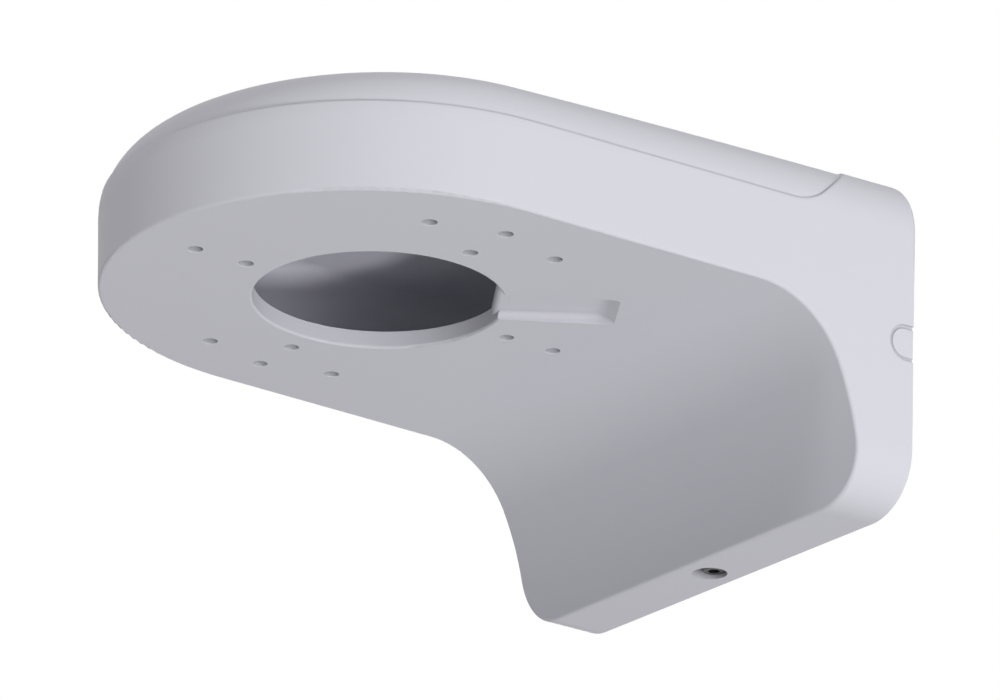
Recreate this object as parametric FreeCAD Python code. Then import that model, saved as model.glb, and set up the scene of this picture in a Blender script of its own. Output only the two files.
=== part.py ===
"""Wall bracket for a dome camera: a hollow cast housing that hangs on a steel wall plate.

Frame: X across, Y towards the wall, Z up, in millimetres. The origin is on the wall, at the centre
of the four wall screws. The wall plane is y = 0, and the round nose of the bracket points along -Y.
"""
import FreeCAD
import Part

import math
import os

from FreeCAD import Vector

# Housing, seen from above: a round nose whose sides flare to the wall
depth = 160.2
nose_radius = 60.4
side_flare_deg = 1.6
draft_deg = 2.45

# Housing, seen from the side: flat underside, drop at the wall, domed top
drop = 43.0
drop_depth = 14.2
drop_land = 1.05
shoulder_radius = 23.6
drop_radius = 67.2
bottom_corner_radius = 13.7
top_at_nose = 30.4
top_at_middle = 33.3
top_at_wall = 36.1
crown_radius = 14.6
edge_radius = 0.7
bottom_to_wall_centre = 39.0

# Walls of the casting
wall = 4.0
inner_crown_radius = 7.0
inner_edge_radius = 2.5

# Step between the side walls and the crown, with its run-out before the wall
step = 0.45
ledge_at_nose = 19.8
ledge_at_wall = 21.4
runout_from_wall = 33.4
runout_radius = 12.9
runout_angle_deg = 42.0

# Cable hole and camera screw holes in the underside
hole_from_wall = 99.0
hole_diameter = 55.2
hole_edge_radius = 0.6
tap_diameter = 3.3
tap_chamfer = 0.1
outer_circle = 94.5
inner_circle = 68.9
rectangle_across = 85.2
rectangle_along = 32.6

# Cable groove from the hole towards the wall
groove_angle_deg = 31.0
groove_width = 14.3
groove_depth_at_hole = 1.7
groove_depth_at_end = 2.2
groove_reach = 52.4
groove_end_slope_deg = 38.0
groove_end_radius = 3.0
groove_corner_radius = 1.5

# Lip inside the hole, over which the cable bends into the groove
lip_from_centre = 25.5
lip_edge_radius = 1.2

# Knock-out in one side at the wall edge
knockout_width = 7.4
knockout_reach = 6.1
knockout_below_underside = 5.5
knockout_sunk = 0.2
knockout_web = 1.4
score_radius = 0.5
score_depth = 0.5

# Lock screw, up through the bottom of the housing, and the wider recess its head lies in
screw_from_wall = 5.9
screw_diameter = 3.0
screw_length = 8.0
screw_play = 0.25
tip_chamfer = 0.4
head_diameter = 5.5
head_height = 3.0
head_edge_radius = 0.5
head_sunk = 0.8
socket_across_flats = 2.5
socket_depth = 1.9
recess_from_wall = 7.1
recess_diameter = 8.0
pad_height = 2.0
pad_width = 14.0

# Wall plate
plate_thickness = 2.0
plate_gap = 0.4
plate_screw_across = 84.0
plate_screw_up = 46.0
plate_screw_diameter = 5.0
window_width = 52.0
window_height = 30.0
window_corner = 8.0
bend_radius = 1.0
relief_width = 1.0
hook_width = 14.0
hook_spacing = 52.0
hook_lip = 3.5
lug_height = 6.5
lug_thickness = 3.2
lug_narrower = 1.0
lug_play = 0.5
tab_width = 16.0
tab_reach = 10.0

# Levels and places worked out from the sizes above
bottom_z = -bottom_to_wall_centre
underside_z = bottom_z + drop
nose_y = nose_radius - depth
flare = math.radians(side_flare_deg)
draft = math.tan(math.radians(draft_deg))
hole_y = -hole_from_wall
hole_radius = hole_diameter / 2
lug_y = -plate_thickness - lug_play
seat_z = bottom_z + wall + pad_height
recess_top_z = bottom_z + head_height + head_sunk

# How far cutting tools reach past what they cut, and joined parts into each other
margin = 20.0
through = 1.0
overlap = 1.0

# How edges are picked out: within this distance, and where the faces beside them turn by more than this
tolerance = 0.1
sharp_turn_deg = 10.0


def box(x0, x1, y0, y1, z0, z1):
    """A block between two opposite corners."""
    return Part.makeBox(x1 - x0, y1 - y0, z1 - z0, Vector(x0, y0, z0))


def between(x0, x1, y0, y1, z0, z1):
    """A block between any two heights, given in either order."""
    return box(x0, x1, y0, y1, min(z0, z1), max(z0, z1))


def upright(radius, height, x, y, z):
    """A cylinder that stands on the point x, y, z."""
    return Part.makeCylinder(radius, height, Vector(x, y, z))


def flat_sided(low, high):
    """A solid with flat faces between two polygons that have as many corners."""
    count = len(low)
    rings = [list(low), list(high)]
    for i in range(count):
        j = (i + 1) % count
        rings.append([low[i], low[j], high[j], high[i]])
    faces = [Part.Face(Part.makePolygon(ring + ring[:1])) for ring in rings]
    return Part.Solid(Part.Shell(faces))


def plan_solid(inset, back_y):
    """The housing's plan with its draft: straight flared sides, tangent to a round nose."""
    low_z, high_z = bottom_z - margin, underside_z + top_at_wall + margin

    def radius_at(z):
        return nose_radius - inset + (z - underside_z) * draft

    def corners(z, half_front, half_back):
        front_y = nose_y - radius_at(z) * math.sin(flare)
        return [Vector(-half_front, front_y, z), Vector(half_front, front_y, z),
                Vector(half_back, back_y, z), Vector(-half_back, back_y, z)]

    def flared(z):
        tangent_x = radius_at(z) * math.cos(flare)
        back_x = radius_at(z) / math.cos(flare) + (back_y - nose_y) * math.tan(flare)
        return corners(z, tangent_x, back_x)

    nose = Part.makeCone(radius_at(low_z), radius_at(high_z), high_z - low_z, Vector(0, nose_y, low_z))
    behind = flat_sided(corners(low_z, depth, depth), corners(high_z, depth, depth))
    return nose.cut(behind).fuse(flat_sided(flared(low_z), flared(high_z)))


def top_height(y):
    """Height of the domed top above the underside: a parabola through the three given heights."""
    places = [-depth, hole_y, 0.0]
    heights = [top_at_nose, top_at_middle, top_at_wall]
    total = 0.0
    for i, height in enumerate(heights):
        others = [place for j, place in enumerate(places) if j != i]
        weight = 1.0
        for other in others:
            weight *= (y - other) / (places[i] - other)
        total += height * weight
    return total


def side_profile(inset, back_y):
    """The housing seen from the side, as a face in the plane x = 0."""
    def at(y, z):
        return Vector(0, y, z)

    floor_z = underside_z + inset
    low_z = bottom_z + inset
    front_y = -depth - margin
    upper, lower = shoulder_radius + inset, drop_radius + inset
    lower_y, lower_z = -drop_depth - drop_radius, bottom_z + drop_land
    meet = math.asin((drop - drop_land - shoulder_radius) / (drop_radius - shoulder_radius))
    upper_y = lower_y + (drop_radius - shoulder_radius) * math.cos(meet)
    upper_z = lower_z + (drop_radius - shoulder_radius) * math.sin(meet)
    start = math.asin(max(0.0, low_z - lower_z) / lower)

    def on_lower(angle):
        return at(lower_y + lower * math.cos(angle), lower_z + lower * math.sin(angle))

    def on_upper(angle):
        return at(upper_y + upper * math.cos(angle), upper_z + upper * math.sin(angle))

    edges = []
    land = at(on_lower(start).y, low_z)
    if inset < drop_land:
        edges.append(Part.makeLine(land, on_lower(start)))
    edges.append(Part.Arc(on_lower(start), on_lower((start + meet) / 2), on_lower(meet)).toShape())
    square = math.pi / 2
    edges.append(Part.Arc(on_upper(meet), on_upper((meet + square) / 2), on_upper(square)).toShape())
    edges.append(Part.makeLine(on_upper(square), at(front_y, floor_z)))

    def on_top(y):
        return at(y, underside_z + top_height(y) - inset)

    edges.append(Part.makeLine(at(front_y, floor_z), on_top(front_y)))
    middle = (front_y + back_y) / 2
    edges.append(Part.Arc(on_top(front_y), on_top(middle), on_top(back_y)).toShape())
    edges.append(Part.makeLine(on_top(back_y), at(back_y, low_z)))
    edges.append(Part.makeLine(at(back_y, low_z), land))
    return Part.Face(Part.Wire(edges))


def across(face):
    """A face in the plane x = 0, made into a solid wider than the housing."""
    width = 4 * nose_radius
    return face.translated(Vector(-width / 2, 0, 0)).extrude(Vector(width, 0, 0))


def turn_at(shape, edge):
    """How far the two faces beside an edge turn, in degrees, at the edge's middle."""
    faces = shape.ancestorsOfType(edge, Part.Face)
    middle = edge.valueAt((edge.FirstParameter + edge.LastParameter) / 2)
    normals = [face.normalAt(*face.Surface.parameter(middle)) for face in faces]
    if len(normals) < 2:
        return 0.0
    return math.degrees(normals[0].getAngle(normals[1]))


def along_x(shape, y, z, x0=-depth, x1=depth):
    """The edges of a shape that run across it at y and z, between x0 and x1."""
    def on_line(point):
        return (abs(point.y - y) < tolerance and abs(point.z - z) < tolerance
                and x0 - tolerance < point.x < x1 + tolerance)

    return [edge for edge in shape.Edges if all(on_line(vertex.Point) for vertex in edge.Vertexes)]


def blank(inset, back_y=0.0):
    """The housing's outer form with sharp edges, moved inwards by inset."""
    return plan_solid(inset, back_y).common(across(side_profile(inset, back_y)))


def body(inset, crown_rounding, rounding, back_y=0.0):
    """The blank with its crown, its bottom corners and its lower edges rounded."""
    solid = blank(inset, back_y)

    def ends(edge):
        return [vertex.Point for vertex in edge.Vertexes]

    def is_bottom_corner(edge):
        level = all(abs(p.z - bottom_z - inset) < tolerance for p in ends(edge))
        outside = all(abs(p.x) > nose_radius / 2 for p in ends(edge))
        return level and outside and edge.BoundBox.YLength > tolerance

    corners = [edge for edge in solid.Edges if is_bottom_corner(edge)]
    solid = solid.makeFillet(bottom_corner_radius - inset, corners)

    def is_rim(edge):
        return all(abs(p.y - back_y) < tolerance for p in ends(edge))

    def is_top(edge):
        return edge.BoundBox.ZMin > underside_z + ledge_at_nose

    crown = [edge for edge in solid.Edges
             if is_top(edge) and not is_rim(edge) and turn_at(solid, edge) > sharp_turn_deg]
    solid = solid.makeFillet(crown_rounding, crown)
    lower = [edge for edge in solid.Edges
             if edge.BoundBox.ZMax < underside_z + inset + tolerance and not is_rim(edge)
             and turn_at(solid, edge) > sharp_turn_deg]
    return solid.makeFillet(rounding, lower)


def crown_zone():
    """The room above the ledge and in front of its run-out, where the crown is set in."""
    slope = math.atan((ledge_at_wall - ledge_at_nose) / depth)
    angle = math.radians(runout_angle_deg)
    start_y = -runout_from_wall

    def ledge_z(y):
        return underside_z + ledge_at_wall + y * math.tan(slope)

    centre_y = start_y - runout_radius * math.sin(slope)
    centre_z = ledge_z(start_y) + runout_radius * math.cos(slope)

    def on_arc(turn):
        return Vector(0, centre_y + runout_radius * math.sin(turn),
                      centre_z - runout_radius * math.cos(turn))

    front_y = -depth - margin
    high_z = underside_z + top_at_wall + margin
    first, last = on_arc(slope), on_arc(angle)
    climb = (high_z - last.z) / math.tan(angle)
    top_back = Vector(0, last.y + climb, high_z)
    edges = [Part.makeLine(Vector(0, front_y, ledge_z(front_y)), first),
             Part.Arc(first, on_arc((slope + angle) / 2), last).toShape(),
             Part.makeLine(last, top_back),
             Part.makeLine(top_back, Vector(0, front_y, high_z)),
             Part.makeLine(Vector(0, front_y, high_z), Vector(0, front_y, ledge_z(front_y)))]
    return across(Part.Face(Part.Wire(edges)))


def outer_form():
    """The whole housing as if it were solid, with its crown set in above the ledge."""
    set_in = body(step, crown_radius - step, edge_radius)
    return body(0.0, crown_radius, edge_radius).cut(crown_zone().cut(set_in))


def camera_hole_places():
    """Centres of the twelve camera screw holes, about the cable hole."""
    places = []
    for circle in (outer_circle, inner_circle):
        for quarter in range(4):
            angle = math.radians(90 * quarter)
            places.append((circle / 2 * math.cos(angle), circle / 2 * math.sin(angle)))
    for sign_x in (-1, 1):
        for sign_y in (-1, 1):
            places.append((sign_x * rectangle_across / 2, sign_y * rectangle_along / 2))
    return [(x, hole_y + y) for x, y in places]


def tapped_hole(x, y):
    """One camera screw hole through the underside, with a small lead-in at its mouth."""
    bore = upright(tap_diameter / 2, wall + 2 * through, x, y, underside_z - through)
    lead = Part.makeCone(tap_diameter / 2 + 2 * tap_chamfer, tap_diameter / 2, 2 * tap_chamfer,
                         Vector(x, y, underside_z - tap_chamfer))
    return bore.fuse(lead)


def cable_hole():
    """The large hole, with its lower edge rounded off."""
    bore = upright(hole_radius, wall + 2 * through, 0, hole_y, underside_z - through)
    flare_ring = upright(hole_radius + hole_edge_radius, hole_edge_radius, 0, hole_y, underside_z)
    bead = Part.makeTorus(hole_radius + hole_edge_radius, hole_edge_radius,
                          Vector(0, hole_y, underside_z + hole_edge_radius))
    return bore.fuse(flare_ring.cut(bead))


def along_groove(shape):
    """Turns a shape made about the Z axis, with its length along +Y, to the groove's place."""
    shape.rotate(Vector(0, 0, 0), Vector(0, 0, 1), -groove_angle_deg)
    return shape.translated(Vector(0, hole_y, 0))


def cable_groove():
    """The shallow channel from the cable hole towards the wall, deepest where it ramps out."""
    ramp = groove_depth_at_end / math.tan(math.radians(groove_end_slope_deg))
    out = through / math.tan(math.radians(groove_end_slope_deg))
    low_z = underside_z - through
    mouth_z, end_z = underside_z + groove_depth_at_hole, underside_z + groove_depth_at_end
    places = [(0.0, low_z), (0.0, mouth_z), (hole_radius, mouth_z), (groove_reach - ramp, end_z),
              (groove_reach + out, low_z), (0.0, low_z)]
    outline = Part.makePolygon([Vector(-groove_width / 2, y, z) for y, z in places])
    channel = Part.Face(outline).extrude(Vector(groove_width, 0, 0))
    channel = channel.makeFillet(groove_end_radius, along_x(channel, groove_reach - ramp, end_z))
    sides = [edge for edge in channel.Edges
             if edge.BoundBox.XLength < tolerance and edge.BoundBox.YLength > tolerance
             and edge.BoundBox.ZMax > low_z + tolerance]
    return along_groove(channel.makeFillet(groove_corner_radius, sides))


def groove_lip():
    """A chord of metal across the hole at the groove's mouth, with its lower edge rounded."""
    low_z = underside_z + groove_depth_at_hole
    bar = box(-hole_radius, hole_radius, lip_from_centre, 2 * hole_radius, low_z, underside_z + wall)
    bar = bar.makeFillet(lip_edge_radius, along_x(bar, lip_from_centre, low_z))
    return along_groove(bar.common(upright(hole_radius + overlap, wall, 0, 0, underside_z)))


def knockout_middle():
    """Centre of the knock-out's round end, across Y and Z."""
    return -knockout_reach + knockout_width / 2, underside_z - knockout_below_underside


def knockout_prism():
    """The knock-out's U shape, open to the wall, as a solid across the +X side wall."""
    centre_y, middle_z = knockout_middle()
    half = knockout_width / 2

    def at(y, z):
        return Vector(nose_radius / 2, y, z)

    high, low = at(centre_y, middle_z + half), at(centre_y, middle_z - half)
    back_high, back_low = at(margin, middle_z + half), at(margin, middle_z - half)
    edges = [Part.makeLine(back_high, high),
             Part.Arc(high, at(centre_y - half, middle_z), low).toShape(),
             Part.makeLine(low, back_low),
             Part.makeLine(back_low, back_high)]
    return Part.Face(Part.Wire(edges)).extrude(Vector(nose_radius, 0, 0))


def score():
    """The round-bottomed line round the knock-out, as a bent rod laid into the side's face."""
    centre_y, middle_z = knockout_middle()
    half = knockout_width / 2
    bend = Part.makeTorus(half, score_radius, Vector(0, 0, 0), Vector(1, 0, 0))
    rod = bend.common(box(-margin, margin, -margin, 0, -margin, margin))
    for z in (-half, half):
        rod = rod.fuse(Part.makeCylinder(score_radius, margin, Vector(0, 0, z), Vector(0, 1, 0)))
    outward = Vector(1, -math.tan(flare), -draft / math.cos(flare)).normalize()
    face_x = ((nose_radius + (middle_z - underside_z) * draft) / math.cos(flare)
              + (centre_y - nose_y) * math.tan(flare))
    rod.rotate(Vector(0, 0, 0), Vector(1, 0, 0).cross(outward),
               math.degrees(outward.getAngle(Vector(1, 0, 0))))
    return rod.translated(Vector(face_x, centre_y, middle_z) + outward * (score_radius - score_depth))


def knockout_cuts():
    """The line round the knock-out, its slight sinking, and the pocket behind it that leaves a thin web."""
    inner = knockout_prism()
    sunk = inner.cut(blank(knockout_sunk, margin))
    pocket = inner.common(blank(knockout_sunk + knockout_web, margin))
    return [score(), sunk, pocket]


def lug_places():
    return [-hook_spacing / 2, hook_spacing / 2]


def hook_level():
    """Height at which the housing's lugs sit on the plate's hooks."""
    return underside_z + top_height(0.0) - wall - lug_height


def lug(x):
    """A cast lug under the roof, which drops behind the lip of one of the plate's hooks."""
    width = hook_width - lug_narrower
    block = box(x - width / 2, x + width / 2, lug_y - lug_thickness, lug_y,
                hook_level(), underside_z + top_at_wall - wall / 2)
    foot = along_x(block, lug_y, hook_level()) + along_x(block, lug_y - lug_thickness, hook_level())
    return block.makeFillet(bend_radius, foot)


def lock_pad():
    """The raised pad inside the bottom, under the plate's tab."""
    back = -plate_thickness - plate_gap
    front = -2 * recess_from_wall - back
    pad = box(-pad_width / 2, pad_width / 2, front, back, bottom_z + wall / 2, seat_z)
    corners = [edge for edge in pad.Edges if edge.BoundBox.ZLength > pad_height]
    return pad.makeFillet(edge_radius, corners)


def bracket_housing():
    shell = outer_form().cut(body(wall, inner_crown_radius, inner_edge_radius, margin))
    for piece in [lug(x) for x in lug_places()] + [lock_pad()]:
        shell = shell.fuse(piece)
    shell = shell.cut(cable_hole()).cut(cable_groove()).fuse(groove_lip())
    for x, y in camera_hole_places():
        shell = shell.cut(tapped_hole(x, y))
    for tool in knockout_cuts():
        shell = shell.cut(tool)
    low_z = bottom_z - through
    shell = shell.cut(upright(screw_diameter / 2 + screw_play, drop, 0, -screw_from_wall, low_z))
    return shell.cut(upright(recess_diameter / 2, recess_top_z - low_z, 0, -recess_from_wall, low_z))


def bent_tab(plate, x0, x1, reach, level, turn, lip):
    """Bends a strip of the plate forward at a level; turn is 1 where the strip comes from above it."""
    thickness = turn * plate_thickness
    slot = turn * (plate_thickness + bend_radius)
    front = -plate_thickness - through
    for left, right in ((x0 - relief_width, x0), (x1, x1 + relief_width)):
        plate = plate.cut(between(left, right, front, through, level - turn * drop, level + slot))
    plate = plate.cut(between(x0, x1, front, through, level - turn * drop, level))
    plate = plate.fuse(between(x0, x1, -reach, 0, level, level + thickness))
    outer, inner = [(0.0, level)], [(-plate_thickness, level + thickness)]
    if lip:
        far = between(x0, x1, -reach, plate_thickness - reach, level + thickness, level - turn * lip)
        plate = plate.fuse(far)
        outer.append((-reach, level + thickness))
        inner.append((plate_thickness - reach, level))
    plate = plate.removeSplitter()
    for y, z in outer:
        plate = plate.makeFillet(bend_radius + plate_thickness, along_x(plate, y, z, x0, x1))
    for y, z in inner:
        plate = plate.makeFillet(bend_radius, along_x(plate, y, z, x0, x1))
    return plate


def wall_plate():
    """A pressed plate that fills the open back, with two hooks above and a tapped tab below."""
    outline = body(wall + plate_gap, inner_crown_radius - plate_gap, inner_edge_radius, margin)
    plate = outline.common(box(-depth, depth, -plate_thickness, 0, bottom_z, underside_z + top_at_wall))
    hook_reach = lug_thickness + 2 * lug_play + 2 * plate_thickness
    for x in lug_places():
        plate = bent_tab(plate, x - hook_width / 2, x + hook_width / 2, hook_reach,
                         hook_level(), -1, hook_lip)
    plate = bent_tab(plate, -tab_width / 2, tab_width / 2, tab_reach, seat_z, 1, 0.0)
    plate = plate.cut(upright(screw_diameter / 2, drop, 0, -screw_from_wall, bottom_z))
    for x in (-plate_screw_across / 2, plate_screw_across / 2):
        for z in (-plate_screw_up / 2, plate_screw_up / 2):
            hole = Part.makeCylinder(plate_screw_diameter / 2, plate_thickness + 2 * through,
                                     Vector(x, -plate_thickness - through, z), Vector(0, 1, 0))
            plate = plate.cut(hole)
    window = box(-window_width / 2, window_width / 2, -plate_thickness - through, through,
                 -window_height / 2, window_height / 2)
    upright_edges = [edge for edge in window.Edges if edge.BoundBox.YLength > plate_thickness]
    plate = plate.cut(window.makeFillet(window_corner, upright_edges))
    return plate.removeSplitter()


def lock_screw():
    """Socket-head screw whose head sits in the recess and whose thread bites in the plate's tab."""
    head_z = recess_top_z - head_height
    head = upright(head_diameter / 2, head_height, 0, -screw_from_wall, head_z)
    lower = [edge for edge in head.Edges if edge.BoundBox.ZMax < head_z + tolerance]
    head = head.makeFillet(head_edge_radius, lower)
    shank = upright(screw_diameter / 2, screw_length, 0, -screw_from_wall, recess_top_z)
    tip = [edge for edge in shank.Edges
           if edge.BoundBox.ZMin > recess_top_z + tolerance and len(edge.Vertexes) == 1]
    shank = shank.makeChamfer(tip_chamfer, tip)
    across_corners = socket_across_flats / math.cos(math.pi / 6)
    corners = []
    for i in range(7):
        angle = math.radians(60 * i)
        corners.append(Vector(across_corners / 2 * math.cos(angle),
                              -screw_from_wall + across_corners / 2 * math.sin(angle), head_z - through))
    socket = Part.Face(Part.makePolygon(corners)).extrude(Vector(0, 0, socket_depth + through))
    return head.fuse(shank).cut(socket).removeSplitter()


os.makedirs("parts", exist_ok=True)
pieces = {"bracket_housing": bracket_housing(), "wall_plate": wall_plate(), "lock_screw": lock_screw()}
for name, shape in pieces.items():
    if shape.ShapeType == "Compound" and len(shape.Solids) == 1:
        shape = shape.Solids[0]
    print(name, shape.ShapeType, shape.isValid(), len(shape.Solids), round(shape.Volume, 1), shape.BoundBox)
    shape.exportStep("parts/" + name + ".step")
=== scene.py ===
import math

import bpy
from mathutils import Matrix, Vector

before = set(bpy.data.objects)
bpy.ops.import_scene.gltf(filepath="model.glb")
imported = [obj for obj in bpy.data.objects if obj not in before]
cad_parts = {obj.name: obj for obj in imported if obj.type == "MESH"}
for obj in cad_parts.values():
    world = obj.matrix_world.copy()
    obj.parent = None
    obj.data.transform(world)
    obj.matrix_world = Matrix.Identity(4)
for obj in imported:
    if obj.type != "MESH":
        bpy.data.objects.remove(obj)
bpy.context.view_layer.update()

# All lengths are in metres and all angles in degrees

# The photograph's viewpoint: a long lens from below, on the bracket's +X side. Azimuth 0 looks
# along +Y
VIEW_AZIMUTH = 54.51
VIEW_ELEVATION = -21.67
VIEW_ROLL = 1.02
VIEW_TARGET = Vector((0.01245, -0.07511, -0.00540))
VIEW_DISTANCE = 1.008
SENSOR_MM = 36.0
LENS_MM = 166.4
CLIP_NEAR = 0.05
CLIP_FAR = 50.0

# The casting's matt off-white powder coat
COAT_COLOUR = (0.697, 0.693, 0.755)
COAT_ROUGHNESS = 0.58
COAT_GLOSS = 0.2
COAT_GRAIN_SIZE = 0.0006
COAT_GRAIN_DEPTH = 0.00005

# Painted shade: the coat's colour is made darker in narrow grooves and holes, where shade falls.
# Over REACH the
# openness of a place is measured: below DARK_AT the full painted shade applies, above PLAIN_AT
# none
GROOVE_PAINTED_SHADE = 0.5
GROOVE_DARK_AT = 0.45
GROOVE_PLAIN_AT = 0.95
GROOVE_REACH = 0.0025
GROOVE_SAMPLES = 6

# The ledge lies over LEDGE_FROM. Its edge is softer than the others, and the painted shade there
# reaches only LEDGE_REACH
LEDGE_FROM = 0.014
LEDGE_BLEND = 0.003
LEDGE_REACH = 0.0002
LEDGE_SOFTNESS = 0.0009
EDGE_SOFTNESS = 0.00005
EDGE_SAMPLES = 8

# The cloudy, finely grained surface of the steel pieces
ZINC_COLOUR = (0.62, 0.63, 0.65)
ZINC_ROUGHNESS = 0.38
DARK_STEEL_COLOUR = (0.07, 0.07, 0.075)
DARK_STEEL_ROUGHNESS = 0.4
CLOUD_SIZE = 0.006
CLOUD_SHADE = 0.9
CLOUD_DULL_AT = 0.3
CLOUD_BRIGHT_AT = 0.7
SHEEN_LOW = 0.85
SHEEN_HIGH = 1.15
STEEL_GRAIN_SIZE = 0.0004
STEEL_GRAIN_DEPTH = 0.00001

NOISE_DETAIL = 2.0
GRAIN_STRENGTH = 0.25

# The sky and the floor, each with its strength as a light and as the camera sees it
WHITE = (1.0, 1.0, 1.0, 1.0)
SKY_STRENGTH = 0.27
SKY_SEEN = 1.0
FLOOR_LEVEL = -2.2
FLOOR_SIZE = 6.0
FLOOR_COLOUR = (0.85, 0.85, 0.85, 1.0)
FLOOR_ROUGHNESS = 0.8
FLOOR_STRENGTH = 0.0
FLOOR_SEEN = 0.62

# Soft square lamps on a ball round the head: name, azimuth from +X towards +Y, elevation, size
# and power in watts
LAMP_DISTANCE = 1.7
LAMP_TARGET = Vector((0.0, -0.08, 0.0))
LAMPS = (("key", -4.0, -36.5, 0.25, 11.2),
         ("side", 40.0, 12.0, 0.5, 4.1),
         ("nose_above", -60.0, 45.0, 0.5, 4.3),
         ("above", 10.0, 80.0, 0.5, 1.4),
         ("below", -15.0, -30.0, 0.5, 0.6),
         ("nose", -80.0, 12.0, 0.5, 1.6),
         ("side_low", 10.0, -12.0, 0.5, 4.1),
         ("nose_below", -35.0, -38.0, 0.3, 1.5),
         ("behind", 140.0, 15.0, 0.5, 12.0))


def make_camera():
    """Places the camera where the photograph was taken from."""
    azimuth, elevation, roll = map(math.radians, (VIEW_AZIMUTH, VIEW_ELEVATION, VIEW_ROLL))
    back = Vector((math.sin(azimuth) * math.cos(elevation),
                   -math.cos(azimuth) * math.cos(elevation),
                   math.sin(elevation)))
    level_right = Vector((math.cos(azimuth), math.sin(azimuth), 0.0))
    level_up = back.cross(level_right)
    right = level_right * math.cos(roll) + level_up * math.sin(roll)
    up = back.cross(right)
    data = bpy.data.cameras.new("camera")
    data.sensor_width = SENSOR_MM
    data.lens = LENS_MM
    data.clip_start = CLIP_NEAR
    data.clip_end = CLIP_FAR
    camera = bpy.data.objects.new("camera", data)
    axes = Matrix((right, up, back)).transposed()
    place = Matrix.Translation(VIEW_TARGET + back * VIEW_DISTANCE)
    camera.matrix_world = place @ axes.to_4x4()
    bpy.context.scene.collection.objects.link(camera)
    bpy.context.scene.camera = camera


def new_material(name):
    """A node material, with its tree and its shader."""
    material = bpy.data.materials.new(name)
    material.use_nodes = True
    tree = material.node_tree
    return material, tree, tree.nodes["Principled BSDF"]


def noise(tree, size):
    """Noise in object space whose features are about size across."""
    place = tree.nodes.new("ShaderNodeTexCoord")
    texture = tree.nodes.new("ShaderNodeTexNoise")
    texture.inputs["Scale"].default_value = 1.0 / size
    texture.inputs["Detail"].default_value = NOISE_DETAIL
    tree.links.new(place.outputs["Object"], texture.inputs["Vector"])
    return texture.outputs["Fac"]


def mapped(tree, value, low, high, start=0.0, end=1.0):
    """A value that goes from low to high as the given one goes from start to end."""
    scale = tree.nodes.new("ShaderNodeMapRange")
    scale.inputs["From Min"].default_value = start
    scale.inputs["From Max"].default_value = end
    scale.inputs["To Min"].default_value = low
    scale.inputs["To Max"].default_value = high
    tree.links.new(value, scale.inputs["Value"])
    return scale.outputs["Result"]


def shaded(tree, value, colour, shade, dark_at, plain_at):
    """The colour where value is at plain_at or over, and shade times it at dark_at or under."""
    ramp = tree.nodes.new("ShaderNodeValToRGB")
    dark, plain = ramp.color_ramp.elements
    dark.position, plain.position = dark_at, plain_at
    dark.color = (*(shade * part for part in colour), 1.0)
    plain.color = (*colour, 1.0)
    tree.links.new(value, ramp.inputs["Fac"])
    return ramp.outputs["Color"]


def add_grain(tree, shader, size, depth):
    """Gives the shader a fine grain and returns the node that makes it."""
    bump = tree.nodes.new("ShaderNodeBump")
    bump.inputs["Strength"].default_value = GRAIN_STRENGTH
    bump.inputs["Distance"].default_value = depth
    tree.links.new(noise(tree, size), bump.inputs["Height"])
    tree.links.new(bump.outputs["Normal"], shader.inputs["Normal"])
    return bump


def by_height(tree, below, at_ledge):
    """A value that goes from below to at_ledge over LEDGE_FROM."""
    place = tree.nodes.new("ShaderNodeTexCoord")
    height = tree.nodes.new("ShaderNodeSeparateXYZ")
    tree.links.new(place.outputs["Object"], height.inputs["Vector"])
    return mapped(tree, height.outputs["Z"], below, at_ledge, LEDGE_FROM, LEDGE_FROM + LEDGE_BLEND)


def soft_edges(tree):
    """The coat's rounded edges, wide along the ledge."""
    edges = tree.nodes.new("ShaderNodeBevel")
    edges.samples = EDGE_SAMPLES
    tree.links.new(by_height(tree, EDGE_SOFTNESS, LEDGE_SOFTNESS), edges.inputs["Radius"])
    return edges.outputs["Normal"]


def openness(tree):
    """How open the place is, low in narrow grooves, holes and corners below the ledge; it sets the
    coat's painted shade.
    """
    near = tree.nodes.new("ShaderNodeAmbientOcclusion")
    near.samples = GROOVE_SAMPLES
    tree.links.new(by_height(tree, GROOVE_REACH, LEDGE_REACH), near.inputs["Distance"])
    return near.outputs["AO"]


def coat_material():
    """Off-white powder coat with a fine grain, and painted shade that darkens its colour in
    grooves, holes and corners.
    """
    material, tree, shader = new_material("powder_coat")
    # Painted shade: the base colour is darkened where the place is little open, in grooves, holes
    # and corners
    colour = shaded(tree, openness(tree), COAT_COLOUR, GROOVE_PAINTED_SHADE, GROOVE_DARK_AT,
                    GROOVE_PLAIN_AT)
    tree.links.new(colour, shader.inputs["Base Color"])
    shader.inputs["Roughness"].default_value = COAT_ROUGHNESS
    shader.inputs["Specular IOR Level"].default_value = COAT_GLOSS
    grain = add_grain(tree, shader, COAT_GRAIN_SIZE, COAT_GRAIN_DEPTH)
    tree.links.new(soft_edges(tree), grain.inputs["Normal"])
    return material


def steel_material(name, colour, roughness):
    """Plated or blackened steel, slightly cloudy, with a fine grain."""
    material, tree, shader = new_material(name)
    shader.inputs["Metallic"].default_value = 1.0
    clouds = noise(tree, CLOUD_SIZE)
    cloudy = shaded(tree, clouds, colour, CLOUD_SHADE, CLOUD_DULL_AT, CLOUD_BRIGHT_AT)
    sheen = mapped(tree, clouds, SHEEN_LOW * roughness, SHEEN_HIGH * roughness)
    tree.links.new(cloudy, shader.inputs["Base Color"])
    tree.links.new(sheen, shader.inputs["Roughness"])
    add_grain(tree, shader, STEEL_GRAIN_SIZE, STEEL_GRAIN_DEPTH)
    return material


def dress(node, material):
    """Gives a CAD node its material."""
    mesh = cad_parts[node].data
    mesh.materials.clear()
    mesh.materials.append(material)


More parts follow.
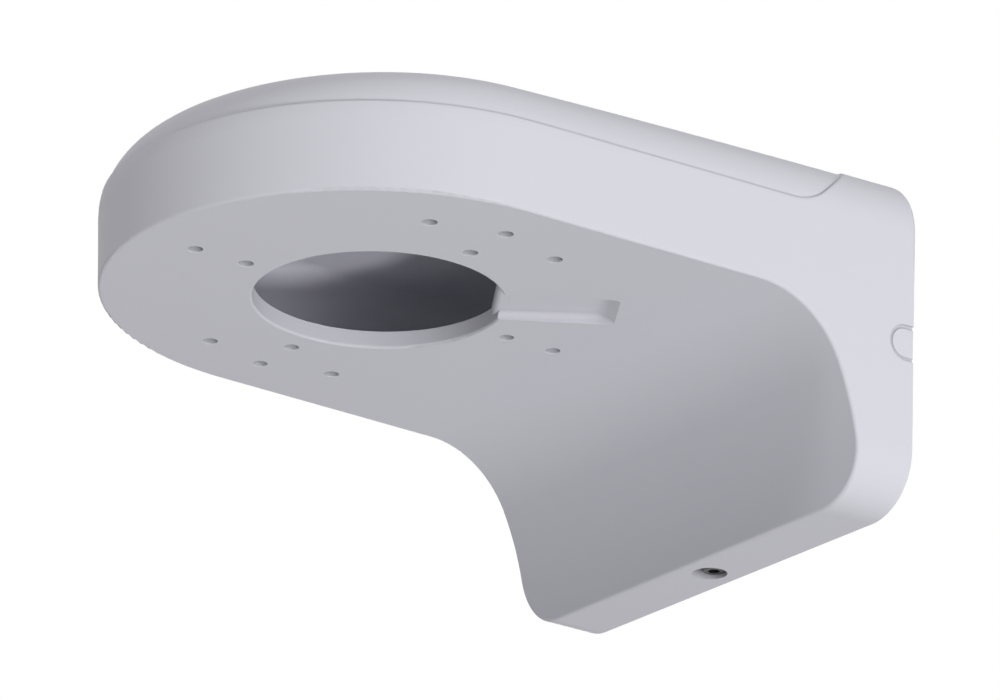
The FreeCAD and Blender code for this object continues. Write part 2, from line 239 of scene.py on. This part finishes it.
def add_lamp(name, azimuth, elevation, size, power):
    """A square soft lamp that shines on the head from azimuth and elevation."""
    azimuth, elevation = math.radians(azimuth), math.radians(elevation)
    towards = Vector((math.cos(azimuth) * math.cos(elevation),
                      math.sin(azimuth) * math.cos(elevation),
                      math.sin(elevation)))
    data = bpy.data.lights.new(name, "AREA")
    data.shape = "SQUARE"
    data.size = size
    data.energy = power
    lamp = bpy.data.objects.new(name, data)
    lamp.location = LAMP_TARGET + LAMP_DISTANCE * towards
    lamp.rotation_mode = "QUATERNION"
    lamp.rotation_quaternion = (-towards).to_track_quat("-Z", "Y")
    bpy.context.scene.collection.objects.link(lamp)


def seen_strength(tree, lit, seen):
    """A strength of seen for camera and glossy rays and of lit for the others."""
    path = tree.nodes.new("ShaderNodeLightPath")
    either = tree.nodes.new("ShaderNodeMath")
    either.operation = "MAXIMUM"
    tree.links.new(path.outputs["Is Camera Ray"], either.inputs[0])
    tree.links.new(path.outputs["Is Glossy Ray"], either.inputs[1])
    return mapped(tree, either.outputs[0], lit, seen)


def make_world():
    """An even pale sky that the camera and reflections see as white."""
    world = bpy.data.worlds.new("studio")
    bpy.context.scene.world = world
    world.use_nodes = True
    tree = world.node_tree
    shade = tree.nodes["Background"]
    shade.inputs["Color"].default_value = WHITE
    tree.links.new(seen_strength(tree, SKY_STRENGTH, SKY_SEEN), shade.inputs["Strength"])


def make_floor():
    """A floor well below the bracket, near white to the camera, which keeps the shadow."""
    bpy.ops.mesh.primitive_plane_add(size=FLOOR_SIZE, location=(0, 0, FLOOR_LEVEL))
    floor = bpy.context.object
    floor.name = "floor"
    material, tree, shader = new_material("floor")
    shader.inputs["Base Color"].default_value = FLOOR_COLOUR
    shader.inputs["Roughness"].default_value = FLOOR_ROUGHNESS
    shader.inputs["Emission Color"].default_value = WHITE
    glow = seen_strength(tree, FLOOR_STRENGTH, FLOOR_SEEN)
    tree.links.new(glow, shader.inputs["Emission Strength"])
    floor.data.materials.append(material)


make_camera()
make_world()
make_floor()
for lamp_row in LAMPS:
    add_lamp(*lamp_row)
dress("bracket_housing", coat_material())
dress("wall_plate", steel_material("zinc_plated", ZINC_COLOUR, ZINC_ROUGHNESS))
dress("lock_screw", steel_material("dark_steel", DARK_STEEL_COLOUR, DARK_STEEL_ROUGHNESS))
bpy.context.scene.view_settings.view_transform = "Standard"
